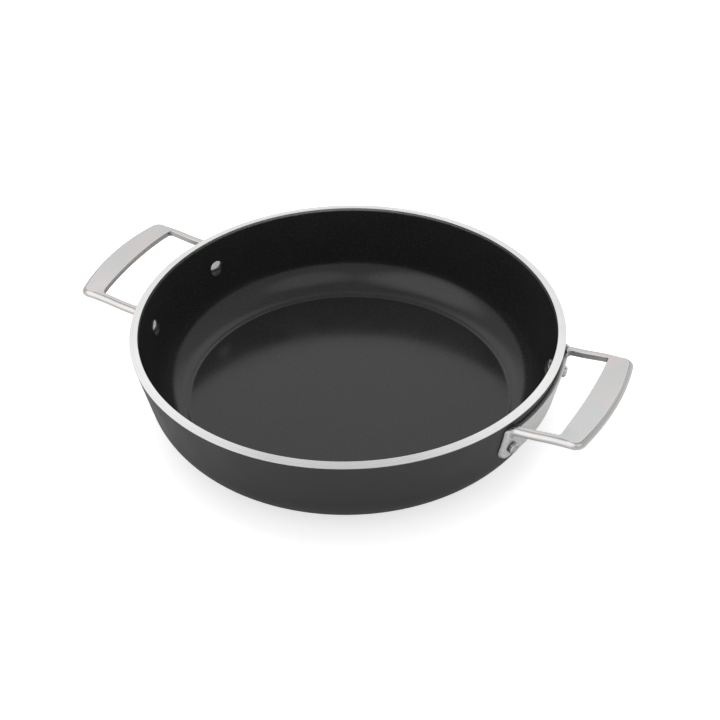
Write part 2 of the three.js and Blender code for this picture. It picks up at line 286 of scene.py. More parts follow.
def rounded(corners, arc_points=6, support=0.12):
    """Line through corners (r, z, radius) in which each corner is an arc tangent to both its sides, with
    a point a little way along each side so that flat faces stay flat when they are shaded."""
    corners = np.asarray(corners, float)
    line = [corners[:1, :2]]
    for before, here, after in zip(corners[:-2], corners[1:-1], corners[2:]):
        p, radius = here[:2], here[2]
        u = (before[:2] - p) / np.linalg.norm(before[:2] - p)
        v = (after[:2] - p) / np.linalg.norm(after[:2] - p)
        half = math.acos(np.clip(u @ v, -1.0, 1.0)) / 2.0
        reach = radius / math.tan(half)
        centre = p + (u + v) / np.linalg.norm(u + v) * radius / math.sin(half)
        e0, e1 = p + u * reach - centre, p + v * reach - centre
        sweep = math.acos(np.clip(e0 @ e1 / radius**2, -1.0, 1.0))
        t = np.linspace(0.0, 1.0, arc_points)[:, None]
        arc = centre + (np.sin((1.0 - t) * sweep) * e0 + np.sin(t * sweep) * e1) / math.sin(sweep)
        line += [[p + u * (reach + support)], arc, [p + v * (reach + support)]]
    line.append(corners[-1:, :2])
    return np.concatenate(line)


def bowl_line(offset, floor_z, corner, drop, start_r=0.0, fine=1.0):
    """Line of a bowl from its floor, round a corner arc and up the straight leaning wall to a drop below
    the rim."""
    centre_z = floor_z + corner
    centre_r = wall_radius(offset, centre_z) - corner / math.cos(LEAN)
    a = np.linspace(-math.pi / 2.0, -LEAN, int(48 * fine) + 1)
    near = max(start_r, centre_r - 8.0)
    floor_r = np.concatenate([
        np.linspace(start_r, near, 8, endpoint=False),
        np.linspace(near, centre_r, int(20 * fine)),
    ])
    foot = (POT_HEIGHT - centre_z + corner * math.sin(LEAN) - offset * math.sin(LEAN)) / math.cos(LEAN)
    drops = np.append(np.linspace(foot, drop + 0.15, 14)[1:], drop)
    return np.concatenate([
        np.stack([floor_r[:-1], np.full(len(floor_r) - 1, floor_z)], 1),
        np.stack([centre_r + corner * np.cos(a), centre_z + corner * np.sin(a)], 1),
        wall_point(np.full_like(drops, offset), drops),
    ])


def inside_line(depth, drop, fine=1.0):
    """Bowl line at a depth under the cooking surface."""
    return bowl_line(depth, COOKING_FLOOR - depth, INNER_CORNER + depth, drop, 0.0, fine)


def outside_line(depth, drop, start_r, fine=1.0):
    """Bowl line at a depth under the outer skin."""
    return bowl_line(WALL - depth, DISC_PROUD + depth, OUTER_CORNER - depth, drop, start_r, fine)


def vessel_profile():
    """Half section of the aluminium core: recess and seat for the disc, outside, turned rim, inside."""
    seat = rounded([
        (0.0, DISC_THICKNESS, 0.0),
        (RECESS_RADIUS, DISC_THICKNESS, DISC_EDGE),
        (RECESS_RADIUS, DISC_PROUD + CORE_SKIN, RECESS_EDGE),
        (SEAT_RADIUS, DISC_PROUD + CORE_SKIN, 0.0),
    ], 4, 0.05)
    outside = outside_line(CORE_SKIN, RIM_OUTER_BAND + LAYER_GAP, SEAT_RADIUS + LAYER_GAP, 0.5)
    corners = wall_point(
        np.array([WALL - CORE_SKIN, WALL, WALL, 0.0, 0.0, CORE_SKIN]),
        np.array([RIM_OUTER_BAND, RIM_OUTER_BAND, 0.0, 0.0, RIM_INNER_BAND, RIM_INNER_BAND]),
    )
    radii = np.array([[0.0], [STEP_EDGE], [RIM_ROUND], [RIM_INNER_CHAMFER], [STEP_EDGE], [0.0]])
    rim = rounded(np.hstack([corners, radii]), 10, 0.1)
    inside = inside_line(CORE_SKIN, RIM_INNER_BAND + LAYER_GAP, 0.5)[::-1]
    return np.concatenate([seat, outside, rim, inside])


def lip(face, towards, drop, radius):
    """Quarter circle that rounds the upper edge of a layer whose face is at one offset and whose back
    lies towards."""
    a = np.linspace(0.0, math.pi / 2.0, 7)[1:]
    return wall_point(face + towards * radius * (1.0 - np.cos(a)), drop + radius * (1.0 - np.sin(a)))


def lining_profile():
    """Half section of the non-stick layer, a thin bowl whose rounded lip ends just under the bare band of
    the rim. Its floor stays flat to its edge, then a smooth step lifts it a little above the corner's
    arc, and a second one brings it back."""
    drop = RIM_INNER_BAND + LAYER_GAP
    front = np.concatenate([inside_line(0.0, drop + LINING_LIP, 2.0), lip(0.0, 1.0, drop, LINING_LIP)])
    r, z = front.T
    step = ease(r, FLOOR_EDGE, FLOOR_EDGE_TOP)
    proud = FLOOR_EDGE_RISE * step * (1.0 - ease(r, FLOOR_EDGE_TOP, FLOOR_EDGE_END))
    front[:, 1] = z[0] + (z - z[0]) * step + proud
    back = inside_line(COAT, drop, 0.3)
    return np.concatenate([back, front[::-1]])


def coat_profile():
    """Half section of the outer coat, a thin ring from the disc's seat round the corner and up to the
    rim."""
    start = SEAT_RADIUS + LAYER_GAP
    drop = RIM_OUTER_BAND + LAYER_GAP
    front = np.concatenate([outside_line(0.0, drop + COAT_LIP, start), lip(WALL, -1.0, drop, COAT_LIP)])
    return np.concatenate([front, outside_line(COAT, drop, start, 0.3)[::-1]])


def disc_profile():
    """Half section of the base disc: flat lands between shallow turned grooves, a small dished centre and
    a chamfer. A groove is a dip of the underside that follows one wave of a cosine."""
    edge = DISC_RADIUS - 2.0 * DISC_CHAMFER
    r = np.concatenate([np.linspace(0.0, 12.0, 24, endpoint=False), np.linspace(12.0, edge, 360)])
    dish = DISH_DEPTH * (1.0 - ease(r, DISH_FLAT, DISH_END))
    phase = (r - GROOVE_FIRST) / GROOVE_PITCH
    wave = np.clip(np.cos(2.0 * math.pi * phase) - GROOVE_LAND, 0.0, None) / (1.0 - GROOVE_LAND)
    begun = ease(r, GROOVE_FIRST - GROOVE_FADE, GROOVE_FIRST)
    ended = ease(r, GROOVE_LAST, GROOVE_LAST + GROOVE_FADE)
    under = np.stack([r, dish + GROOVE_DEPTH * wave * begun * (1.0 - ended)], 1)
    rim = rounded([
        (edge, 0.0, 0.0),
        (DISC_RADIUS - DISC_CHAMFER, 0.0, DISC_EDGE),
        (DISC_RADIUS, DISC_CHAMFER, DISC_EDGE),
        (DISC_RADIUS, DISC_THICKNESS - DISC_BACK_GAP, DISC_EDGE),
        (0.0, DISC_THICKNESS - DISC_BACK_GAP, 0.0),
    ], 4, 0.03)
    return np.concatenate([under, rim[1:]])


def rivet_profile():
    """Half section of a rivet along its shank: a head that is a cap of a ball, the shank and a button tail
    with a small dimple. Also gives where painted shade goes on it: round the tail's base and on the struck
    end."""
    dome = HEAD_HEIGHT - HEAD_EDGE
    ball = (HEAD_RADIUS**2 + dome**2) / (2.0 * dome)
    cap = np.linspace(0.0, HEAD_RADIUS - HEAD_EDGE_WIDTH, 18)
    head = np.stack([cap, ball - dome - HEAD_EDGE - np.sqrt(ball**2 - cap**2)], 1)
    seat = PLATE_FRONT + TAIL_GAP
    end = PLATE_FRONT + SEAT_GAP + TAIL_HEIGHT
    rest = rounded([
        (*head[-1], 0.0),
        (HEAD_RADIUS, -HEAD_EDGE, 0.2),
        (HEAD_RADIUS - 0.05, -HEAD_GAP, 0.12),
        (SHANK_RADIUS, -HEAD_GAP, 0.1),
        (SHANK_RADIUS, seat, 0.1),
        (TAIL_RADIUS - TAIL_FOOT, seat, 0.1),
        (TAIL_RADIUS, seat + TAIL_FOOT_RISE, 0.15),
        (TAIL_RADIUS, end - TAIL_SHOULDER, 0.3),
        (TAIL_RADIUS - TAIL_TAPER, end, 0.25),
        (DIMPLE_RADIUS, end, 0.25),
        (DIMPLE_FLAT, end - DIMPLE_EDGE_DEPTH, 0.3),
        (0.0, end - DIMPLE_DEPTH, 0.0),
    ], 6, 0.04)
    profile = np.concatenate([head, rest[1:]])
    z = profile[:, 1]
    # Painted shade round the tail's base where it meets the plate, and on the struck end
    tail_foot_shade = (z > seat - 0.1) * (1.0 - ease(z, seat + 0.3, seat + 0.8))
    end_face = STRUCK_END_PAINTED_SHADE * ease(z, end - 0.3, end - 0.1)
    return profile, np.maximum(tail_foot_shade, end_face)


def rivet_place(side, y):
    """Matrix that carries the rivet's axis to the wall's outward normal at the rivet's spot."""
    r = wall_radius(0.0, RIVET_Z)
    a = math.asin(y / r)
    normal = np.array([math.cos(LEAN) * math.cos(a), math.cos(LEAN) * math.sin(a), -math.sin(LEAN)])
    across = np.array([-math.sin(a), math.cos(a), 0.0])
    place = np.eye(4)
    place[:3, 0], place[:3, 1], place[:3, 2] = across, np.cross(normal, across), normal
    place[:3, 3] = r * math.cos(a), y, RIVET_Z
    turn = np.diag([side, side, 1.0, 1.0])
    return turn @ place


def loop_half():
    """Plan of half a handle loop, from the plate to the middle of the grip, as matched points on its
    inner and outer edges. The inner edge is a straight arm side, a small fillet and a wide arc. The outer
    edge is a straight arm side, a round corner and a tighter arc. The root spreads towards the finger gap
    by a quarter circle. Also gives the share of grip and how far the root has spread."""
    inside_y, outside_y = ARM_Y - ARM_WIDTH / 2.0, ARM_Y + ARM_WIDTH / 2.0
    inner_centre, outer_centre = GRIP_INNER_X - INNER_ARC, GRIP_OUTER_X - OUTER_ARC
    fillet_y = inside_y - INNER_FILLET
    fillet_x = inner_centre + math.sqrt((INNER_ARC - INNER_FILLET) ** 2 - fillet_y**2)
    fillet_end = math.atan2(fillet_y, fillet_x - inner_centre)
    corner_y = outside_y - GRIP_CORNER
    corner_x = outer_centre + math.sqrt((OUTER_ARC - GRIP_CORNER) ** 2 - corner_y**2)
    corner_end = math.atan2(corner_y, corner_x - outer_centre)

    t = np.linspace(0.0, 1.0, 46) ** 1.7
    face = wall_radius(PLATE_FRONT, ARM_ROOT_TOP - ARM_HEIGHT / 2.0)
    start_in = math.sqrt(face**2 - inside_y**2) - ROOT_SUNK
    start_out = math.sqrt(face**2 - outside_y**2) - ROOT_SUNK
    x_in, x_out = start_in + (fillet_x - start_in) * t, start_out + (fillet_x - start_out) * t
    gone = np.clip(x_in - start_in - ROOT_SUNK, 0.0, ROOT_FILLET)
    spread_arm = ROOT_FILLET - np.sqrt(ROOT_FILLET**2 - (ROOT_FILLET - gone) ** 2)
    arm_in = np.stack([x_in, inside_y - ROOT_SPREAD * spread_arm], 1)
    arm_out = np.stack([x_out, np.full_like(x_out, outside_y)], 1)

    u = np.linspace(0.0, 1.0, 37)[1:]
    a = math.pi / 2.0 + (fillet_end - math.pi / 2.0) * u
    bend_in = np.stack([fillet_x + INNER_FILLET * np.cos(a), fillet_y + INNER_FILLET * np.sin(a)], 1)
    straight = corner_x - fillet_x
    run = u * (straight + GRIP_CORNER * (math.pi / 2.0 - corner_end))
    a = math.pi / 2.0 - np.clip(run - straight, 0.0, None) / GRIP_CORNER
    bend_out = np.stack([fillet_x + np.minimum(run, straight), np.full(len(u), corner_y)], 1)
    bend_out += GRIP_CORNER * np.stack([np.cos(a), np.sin(a)], 1)

    v = np.linspace(1.0, 0.0, 41)[1:]
    a = fillet_end * v
    grip_in = np.stack([inner_centre + INNER_ARC * np.cos(a), INNER_ARC * np.sin(a)], 1)
    a = corner_end * v
    grip_out = np.stack([outer_centre + OUTER_ARC * np.cos(a), OUTER_ARC * np.sin(a)], 1)
    share = np.concatenate([np.zeros(len(t)), ease(u, 0.0, 1.0), np.ones(len(v))])
    spread = np.concatenate([spread_arm, np.zeros(len(u) + len(v))])
    inner = np.concatenate([arm_in, bend_in, grip_in])
    outer = np.concatenate([arm_out, bend_out, grip_out])
    return inner, outer, share, spread


def quarter(qc, vc, rq, rv, a0, a1, count, flatness=1.0):
    """Quarter of an ellipse about (qc, vc) with half axes rq and rv, from angle a0 to a1 in degrees, one
    row for each section. Flatness is a power on the cosine and the sine: 1 is round and 2 is a straight
    chamfer."""
    a = np.radians(np.linspace(a0, a1, count))
    c, s = np.cos(a), np.sin(a)
    c, s = np.sign(c) * np.abs(c) ** flatness, np.sign(s) * np.abs(s) ** flatness
    return np.stack([qc[:, None] + rq[:, None] * c, vc[:, None] + rv[:, None] * s], -1)


def straight(q0, v0, q1, v1, shares):
    """Straight run from (q0, v0) to (q1, v1) at the given shares of its length, one row for each
    section."""
    f = np.asarray(shares)
    return np.stack([q0[:, None] + (q1 - q0)[:, None] * f, v0[:, None] + (v1 - v0)[:, None] * f], -1)


def loop_shell():
    """Arms and grip as one closed strip. Each section is spanned by the line from the inner to the outer
    edge and the vertical: a flat ground top that ends in a crisp shoulder, a round outer side, a flat
    bottom and eased inner edges. The arm's section turns into the grip's by the share of grip, and the
    top follows the rising arms and the bowed grip."""
    half_in, half_out, half_share, half_spread = loop_half()
    flip = np.array([1.0, -1.0])
    inner = np.concatenate([half_in * flip, half_in[-2::-1]])
    outer = np.concatenate([half_out * flip, half_out[-2::-1]])
    share = np.concatenate([half_share, half_share[-2::-1]])
    spread = np.concatenate([half_spread, half_spread[-2::-1]])

    span = outer - inner
    width = np.linalg.norm(span, axis=1)
    span /= width[:, None]
    along_out, along_in = np.gradient(outer, axis=0), np.gradient(inner, axis=0)
    slant_out = np.abs(np.cross(span, along_out)) / np.linalg.norm(along_out, axis=1)
    slant_in = np.abs(np.cross(span, along_in)) / np.maximum(np.linalg.norm(along_in, axis=1), 1e-9)
    slant_out, slant_in = np.clip(slant_out, 0.35, 1.0), np.clip(slant_in, 0.35, 1.0)

    def mixed(sizes):
        arm, grip = sizes
        return arm + (grip - arm) * share

    height = mixed(LOOP_HEIGHT) + spread
    bevel = mixed(BEVEL_WIDTH) / slant_out
    line = mixed(LINE_DEPTH)
    shoulder = mixed(SHOULDER_SHARE) * (height - spread)
    low_out = mixed(LOW_OUTER_ROUND) / slant_out
    low_round, top_round = mixed(LOW_INNER_ROUND), mixed(TOP_INNER_ROUND)
    low_in, top_in = low_round / slant_in, top_round / slant_in
    zero = np.zeros_like(width)
    near = [0.0, 0.02, 0.06, 0.2, 0.4, 0.6, 0.8, 0.94, 0.98, 1.0]
    middle = width / 2.0
    ridge = width - bevel
    section = np.concatenate([
        straight(middle, -height, width - low_out, -height, [0.0, 0.5, 0.9]),
        quarter(width - low_out, -shoulder, low_out, height - shoulder, -90.0, 0.0, 9),
        quarter(
            ridge + LINE_WIDTH, -shoulder, bevel - LINE_WIDTH, shoulder - BEVEL_DROP, 0.0, 90.0, 14, 1.4,
        )[:, 1:],
        straight(
            ridge + 0.92 * LINE_WIDTH, -BEVEL_DROP - 0.2 * line, ridge + 0.52 * LINE_WIDTH, -line, [0.0, 1.0],
        ),
        straight(ridge + 0.2 * LINE_WIDTH, -0.5 * line, ridge, zero, [0.0, 0.9, 1.0]),
        straight(ridge, zero, top_in, zero, near)[:, 1:-1],
        quarter(top_in, -top_round, top_in, top_round, 90.0, 180.0, 7),
        straight(zero, -top_round, zero, -height + low_round, [0.1, 0.5, 0.9]),
        quarter(low_in, -height + low_round, low_in, low_round, 180.0, 270.0, 8),
        straight(low_in, -height, middle, -height, [0.1, 0.5]),
    ], axis=1)

    x = inner[:, None, 0] + span[:, None, 0] * section[..., 0]
    y = inner[:, None, 1] + span[:, None, 1] * section[..., 0]
    slope = (GRIP_TOP - GRIP_BOW - ARM_ROOT_TOP) / (GRIP_INNER_X + RISE_REACH - ARM_ROOT_X)
    arm_top = ARM_ROOT_TOP + slope * (x - ARM_ROOT_X)
    grip_top = GRIP_TOP - GRIP_BOW * (y / ARM_Y) ** 2
    on_arm = ease(np.abs(y), RISE_START_Y, ARM_Y - ARM_WIDTH / 2.0)
    risen = 1.0 - (1.0 - ease(x, RISE_START_X, RISE_END_X)) * on_arm
    sunk = ROOT_DIP * (1.0 - ease(x - x[:1].min(), 0.0, ROOT_DIP_LENGTH))
    z = arm_top + (grip_top - arm_top) * risen - sunk + section[..., 1]
    points = np.stack([x, y, z], -1)

    rows, cols = x.shape
    middle_line = (inner + outer) / 2.0
    along = np.concatenate([[0.0], np.cumsum(np.hypot(*np.diff(middle_line, axis=0).T))])
    around = section[..., 0] - width[:, None] + section[..., 1]
    # Painted highlight along the ridge beside the bevel line and along the inner top edge
    edge = np.zeros(cols)
    edge[RIDGE_POINTS] = 1.0
    edge[INNER_TOP_POINTS] = TOP_EDGE_HIGHLIGHT
    # Painted shade in the fine line by the bevel, stronger towards the grip's corners, and on the inner side
    line_shade, inner_side_shade = np.zeros(cols), np.zeros(cols)
    line_shade[LINE_POINTS] = LINE_SHADE
    inner_side_shade[INNER_SIDE_POINTS] = 1.0
    aside = ease(np.abs(middle_line[:, 1]), LINE_SHADE_START_Y, LINE_SHADE_FULL_Y)
    cornered = LINE_SHADE_LEAST + (1.0 - LINE_SHADE_LEAST) * aside
    # Painted shade on the inner side is darkest near the root
    away = ease(middle_line[:, 0] - middle_line[0, 0], ROOT_SHADE_START, ROOT_SHADE_END)
    rooted = INNER_SIDE_SHADE + ROOT_SIDE_SHADE * (1.0 - away)
    marks = np.zeros((rows, cols, 5))
    marks[..., 0], marks[..., 1], marks[..., 2] = along[:, None], around, edge
    marks[..., 4] = cornered[:, None] * line_shade + rooted[:, None] * inner_side_shade
    caps = points[[0, -1]].mean(axis=1, keepdims=True) + 0.0 * points[[0, -1]]
    points = np.concatenate([caps[:1], points, caps[1:]])
    marks = np.concatenate([marks[:1], marks, marks[-1:]])
    return points.reshape(-1, 3), sew(rows + 2, cols), marks.reshape(-1, 5)


def plate_shell():
    """Mounting plate: upright sections side by side along y. Each is a slab between two offsets of the
    wall's cone, from the lower outline to the upper outline, and widens upwards as the cone does. The
    lower corners are round, the upper outline rises smoothly into the ears, and the front edges are
    quarter circles, wider ones at the plate's ends."""
    turn = np.radians(np.linspace(0.0, 90.0, 19))
    end = PLATE_HALF - PLATE_CORNER + PLATE_CORNER * np.sin(turn)
    y = np.concatenate([-end[::-1], np.linspace(end[0], -end[0], 89)[1:-1] * -1.0, end])
    far = np.abs(y)

    def drop(radius):
        gone = np.clip(far - (PLATE_HALF - radius), 0.0, radius)
        return radius - np.sqrt(radius**2 - gone**2)

    low = PLATE_BOTTOM + drop(PLATE_CORNER)
    high = PLATE_TOP + (EAR_TOP - PLATE_TOP) * ease(far, EAR_START, EAR_FULL) - drop(EAR_CORNER)
    front = PLATE_FRONT - drop(PLATE_END_ROUND)
    back = np.full_like(y, PLATE_BACK)
    e, b = np.full_like(y, PLATE_EDGE), np.full_like(y, PLATE_BACK_EDGE)
    rows = np.array([0.0, 0.01, 0.04, 0.12, 0.25, 0.4, 0.55, 0.7, 0.82, 0.9, 0.96, 0.99, 1.0])
    section = np.concatenate([
        straight(front, low + e, front, high - e, rows)[:, 1:-1],
        quarter(front - e, high - e, e, e, 0.0, 90.0, 8),
        quarter(back + b, high - b, b, b, 90.0, 180.0, 4),
        straight(back, high - b, back, low + b, [0.2, 0.5, 0.8]),
        quarter(back + b, low + b, b, b, 180.0, 270.0, 4),
        quarter(front - e, low + e, e, e, -90.0, 0.0, 8),
    ], axis=1)
    offset, z = section[..., 0], section[..., 1]
    radius = wall_radius(offset, z)
    yy = y[:, None] * wall_radius(PLATE_FRONT, z) / wall_radius(PLATE_FRONT, RIVET_Z)
    points = np.stack([np.sqrt(radius**2 - yy**2), yy, z], -1)
    count, cols = z.shape
    marks = np.zeros((count, cols, 5))
    marks[..., 0], marks[..., 1], marks[..., 3] = y[:, None], z, 1.0
    marks[:, PLATE_TOP_POINTS, 2] = RUBBED_PLATE
    marks[:, PLATE_LOW_POINTS, 2] = RUBBED_PLATE
    marks[PLATE_END_SECTIONS, PLATE_FACE_POINTS, 2] = RUBBED_PLATE
    caps = points[[0, -1]].mean(axis=1, keepdims=True) + 0.0 * points[[0, -1]]
    points = np.concatenate([caps[:1], points, caps[1:]])
    marks = np.concatenate([marks[:1], marks, marks[-1:]])
    return points.reshape(-1, 3), sew(count + 2, cols), marks.reshape(-1, 5)


# Node tools for the finishes
def node(tree, kind, settings=None, **inputs):
    """Adds a shader node, sets its options and fills its inputs with a value or with another node's
    output."""
    made = tree.nodes.new(kind)
    for key, value in (settings or {}).items():
        setattr(made, key, value)
    for key, value in inputs.items():
        fill(tree, made.inputs[key.replace("_", " ")], value)
    return made


def fill(tree, socket, value):
    if isinstance(value, bpy.types.NodeSocket):
        tree.links.new(value, socket)
    else:
        socket.default_value = value


def maths(tree, operation, first, second=0.0, third=0.0):
    made = tree.nodes.new("ShaderNodeMath")
    made.operation = operation
    for socket, value in zip(made.inputs, (first, second, third)):
        fill(tree, socket, value)
    return made.outputs[0]


def blend_colour(tree, share, first, second):
    made = tree.nodes.new("ShaderNodeMix")
    made.data_type = "RGBA"
    for index, value in ((0, share), (6, first), (7, second)):
        fill(tree, made.inputs[index], value)
    return made.outputs[2]


def spread_value(tree, value, low, high, to_low, to_high):
    made = node(
        tree, "ShaderNodeMapRange", None,
        Value=value, From_Min=low, From_Max=high, To_Min=to_low, To_Max=to_high,
    )
    return made.outputs[0]


def toned(tree, value, low, high, reach=0.2):
    """Stretches a noise about its middle, from low to high over a reach to each side."""
    return spread_value(tree, value, 0.5 - reach, 0.5 + reach, low, high)


def noise(tree, where, scale, detail):
    return node(tree, "ShaderNodeTexNoise", None, Vector=where, Scale=scale, Detail=detail).outputs[0]


def ring_noise(tree, distance, scale, detail):
    kind = {"noise_dimensions": "1D"}
    return node(tree, "ShaderNodeTexNoise", kind, W=distance, Scale=scale, Detail=detail).outputs[0]


def new_group(name, inputs, outputs):
    """Empty node group with named inputs (name, kind, value) and named outputs (name, kind)."""
    group = bpy.data.node_groups.new(name, "ShaderNodeTree")
    for label, kind, value in inputs:
        socket = group.interface.new_socket(name=label, in_out="INPUT", socket_type=kind)
        if value is not None:
            socket.default_value = value
    for label, kind in outputs:
        group.interface.new_socket(name=label, in_out="OUTPUT", socket_type=kind)
    return group, group.nodes.new("NodeGroupInput"), group.nodes.new("NodeGroupOutput")


FLOAT, VECTOR = "NodeSocketFloat", "NodeSocketVector"


def coat_grain_group():
    """Sprayed coat: a fine peel in the surface, tiny paler specks in it and slow cloudy changes of
    tone."""
    group, given, out = new_group("coat_grain", [
        ("Position", VECTOR, None),
        ("Peel Scale", FLOAT, 900.0),
        ("Speck Scale", FLOAT, 1400.0),
        ("Speck Level", FLOAT, 0.62),
    ], [("Peel", FLOAT), ("Specks", FLOAT), ("Clouds", FLOAT)])
    where = given.outputs["Position"]
    peel = noise(group, where, given.outputs["Peel Scale"], 2.0)
    specks = noise(group, where, given.outputs["Speck Scale"], 1.0)
    clouds = noise(group, where, 34.0, 3.0)
    high = maths(group, "ADD", given.outputs["Speck Level"], 0.1)
    mask = spread_value(group, specks, given.outputs["Speck Level"], high, 0.0, 1.0)
    fill(group, out.inputs["Peel"], peel)
    fill(group, out.inputs["Specks"], mask)
    fill(group, out.inputs["Clouds"], clouds)
    return group


def turning_group():
    """Lathe marks: noise along the distance from the axis only, so that it draws fine rings, and a little
    of it broken up round the circle."""
    group, given, out = new_group("turning_marks", [
        ("Position", VECTOR, None),
        ("Ring Scale", FLOAT, 3000.0),
    ], [("Height", FLOAT), ("Tone", FLOAT)])
    split = node(group, "ShaderNodeSeparateXYZ", None, Vector=given.outputs["Position"])
    x, y = split.outputs[0], split.outputs[1]
    squares = maths(group, "MULTIPLY_ADD", x, x, maths(group, "MULTIPLY", y, y))
    deep = maths(group, "ADD", maths(group, "SQRT", squares), split.outputs[2])
    fine = ring_noise(group, deep, given.outputs["Ring Scale"], 2.0)
    wide = ring_noise(group, deep, 420.0, 1.0)
    patch = noise(group, given.outputs["Position"], 60.0, 2.0)
    tone = maths(group, "MULTIPLY_ADD", wide, 0.6, maths(group, "MULTIPLY", patch, 0.4))
    fill(group, out.inputs["Height"], fine)
    fill(group, out.inputs["Tone"], tone)
    return group


def metal_cloud_group():
    """Worked steel: cloudy tone, fine pits, and hairlines that run along the piece."""
    group, given, out = new_group("worked_steel", [
        ("Position", VECTOR, None),
        ("Along", FLOAT, 0.0),
        ("Around", FLOAT, 0.0),
        ("Pit Scale", FLOAT, 1500.0),
    ], [("Cloud", FLOAT), ("Pits", FLOAT), ("Hairlines", FLOAT)])
    cloud = noise(group, given.outputs["Position"], 42.0, 2.0)
    pits = noise(group, given.outputs["Position"], given.outputs["Pit Scale"], 3.0)
    stretched = node(
        group, "ShaderNodeCombineXYZ", None,
        X=maths(group, "MULTIPLY", given.outputs["Along"], 0.06),
        Y=maths(group, "MULTIPLY", given.outputs["Around"], 3.2),
    )
    hair = noise(group, stretched.outputs[0], 1.0, 3.0)
    fill(group, out.inputs["Cloud"], cloud)
    fill(group, out.inputs["Pits"], pits)
    fill(group, out.inputs["Hairlines"], hair)
    return group


COAT_GRAIN = coat_grain_group()
TURNING = turning_group()
STEEL_WORK = metal_cloud_group()


def new_finish(name, **sockets):
    """Material with one Principled shader. Values that don't change over the surface are set on its
    sockets."""
    material = bpy.data.materials.new(name)
    material.use_nodes = True
    tree = material.node_tree
    shader = tree.nodes["Principled BSDF"]
    for key, value in sockets.items():
        shader.inputs[key.replace("_", " ")].default_value = value
    position = node(tree, "ShaderNodeTexCoord").outputs["Object"]
    return material, tree, shader, position


def placed_group(tree, group, **inputs):
    made = tree.nodes.new("ShaderNodeGroup")
    made.node_tree = group
    for key, value in inputs.items():
        fill(tree, made.inputs[key.replace("_", " ")], value)
    return made.outputs


def raised(tree, shader, height, strength, distance):
    bump = node(tree, "ShaderNodeBump", None, Height=height, Strength=strength, Distance=distance)
    fill(tree, shader.inputs["Normal"], bump.outputs[0])


def mark(tree, label):
    return node(tree, "ShaderNodeAttribute", {"attribute_name": label}).outputs["Fac"]


# How far from its middle a steel's cloudy tone is stretched
CLOUD_REACH = 0.15


def worked_steel(tree, position, pit_scale):
    along, around = mark(tree, "along"), mark(tree, "around")
    return placed_group(tree, STEEL_WORK, Position=position, Along=along, Around=around, Pit_Scale=pit_scale)


def nonstick_finish():
    """Semi-gloss black coat with a fine speckle."""
    material, tree, shader, position = new_finish("nonstick_black", Metallic=0.0, IOR=1.46)
    deep, pale = (0.0135, 0.0135, 0.0138, 1.0), (0.0175, 0.0175, 0.0178, 1.0)
    speck = (0.034, 0.034, 0.035, 1.0)
    grain = placed_group(
        tree, COAT_GRAIN, Position=position, Peel_Scale=1100.0, Speck_Scale=1300.0, Speck_Level=0.6,
    )
    base = blend_colour(tree, grain["Clouds"], deep, pale)
    fill(tree, shader.inputs["Base Color"], blend_colour(tree, grain["Specks"], base, speck))
    fill(tree, shader.inputs["Roughness"], toned(tree, grain["Clouds"], 0.14, 0.19))
    raised(tree, shader, grain["Peel"], 0.1, 0.00008)
    return material


def coat_finish():
    """Satin dark grey coat on the outside."""
    material, tree, shader, position = new_finish("dark_coat", Metallic=0.0, IOR=1.42)
    deep, pale = (0.0235, 0.0235, 0.024, 1.0), (0.0295, 0.0295, 0.03, 1.0)
    speck = (0.036, 0.036, 0.037, 1.0)
    grain = placed_group(
        tree, COAT_GRAIN, Position=position, Peel_Scale=700.0, Speck_Scale=900.0, Speck_Level=0.64,
    )
    base = blend_colour(tree, grain["Clouds"], deep, pale)
    fill(tree, shader.inputs["Base Color"], blend_colour(tree, grain["Specks"], base, speck))
    fill(tree, shader.inputs["Roughness"], toned(tree, grain["Clouds"], 0.42, 0.52))
    raised(tree, shader, grain["Peel"], 0.25, 0.0001)
    return material


def rim_finish():
    """Bare aluminium, bright from the lathe, with fine rings."""
    material, tree, shader, position = new_finish("bright_aluminium", Metallic=1.0)
    rings = placed_group(tree, TURNING, Position=position, Ring_Scale=2600.0)
    dull, bright = (0.75, 0.75, 0.745, 1.0), (0.84, 0.84, 0.835, 1.0)
    tone = toned(tree, rings["Tone"], 0.0, 1.0)
    fill(tree, shader.inputs["Base Color"], blend_colour(tree, tone, dull, bright))
    fill(tree, shader.inputs["Roughness"], toned(tree, rings["Height"], 0.2, 0.32))
    raised(tree, shader, rings["Height"], 0.18, 0.00006)
    return material


def base_finish():
    """Stainless base disc turned in rings."""
    material, tree, shader, position = new_finish("base_steel", Metallic=1.0)
    rings = placed_group(tree, TURNING, Position=position, Ring_Scale=1900.0)
    dull, bright = (0.5, 0.495, 0.485, 1.0), (0.6, 0.595, 0.585, 1.0)
    tone = toned(tree, rings["Tone"], 0.0, 1.0)
    fill(tree, shader.inputs["Base Color"], blend_colour(tree, tone, dull, bright))
    fill(tree, shader.inputs["Roughness"], toned(tree, rings["Height"], 0.26, 0.42))
    raised(tree, shader, rings["Height"], 0.3, 0.0001)
    return material


